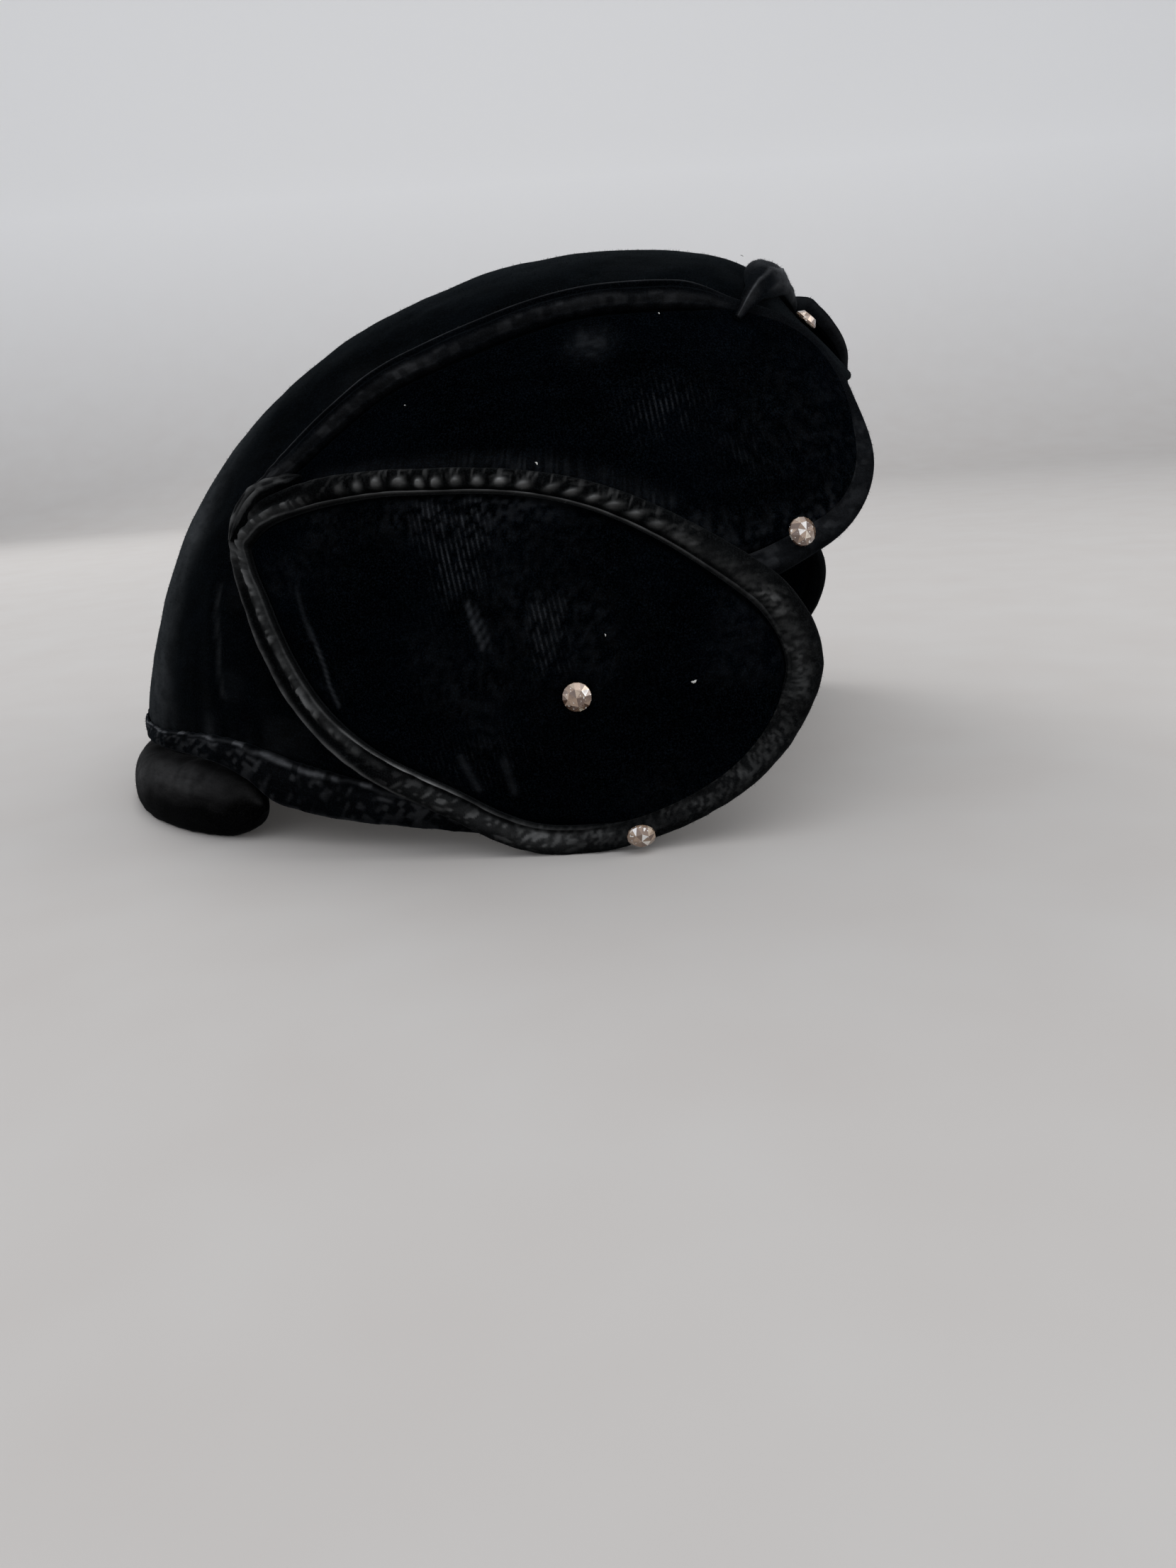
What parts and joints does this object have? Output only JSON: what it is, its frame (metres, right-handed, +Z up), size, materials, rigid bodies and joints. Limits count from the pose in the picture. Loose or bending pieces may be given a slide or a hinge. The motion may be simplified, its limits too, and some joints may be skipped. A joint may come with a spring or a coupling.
{
  "type": "juliet cap",
  "caption": "Small close-fitting velvet cap with a hollow crown, overlapping leaf-shaped side panels with raised bindings, a padded nape roll, a front knot and scattered stones.",
  "frame": {"origin": "middle of the cap's length and width, on the plane it rests on", "axes": "+X towards the front of the cap, +Y towards the wearer's left, +Z up"},
  "size_m": [0.1838, 0.169, 0.1143],
  "materials": {
    "black_velvet": "cotton or silk velvet with a short pile, bluish black, with grey sheen at grazing angles",
    "binding_velvet": "the same velvet gathered over a cord, with crushed lighter pile along the folds",
    "stone": "faceted foil-backed glass, clear to champagne"
  },
  "bodies": {
    "root": {"crown_shell": "black_velvet", "hem_band": "binding_velvet", "nape_roll": "black_velvet", "front_knot": "binding_velvet", "petal_upper_right": "black_velvet", "binding_upper_right": "binding_velvet", "petal_lower_right": "black_velvet", "binding_lower_right": "binding_velvet", "petal_upper_left": "black_velvet", "binding_upper_left": "binding_velvet", "petal_lower_left": "black_velvet", "binding_lower_left": "binding_velvet", "stone_front": "stone", "stone_upper_right": "stone", "stone_upper_left": "stone", "stone_middle_right": "stone", "stone_middle_left": "stone", "stone_edge_right": "stone", "stone_edge_left": "stone"}
  },
  "joints": []
}
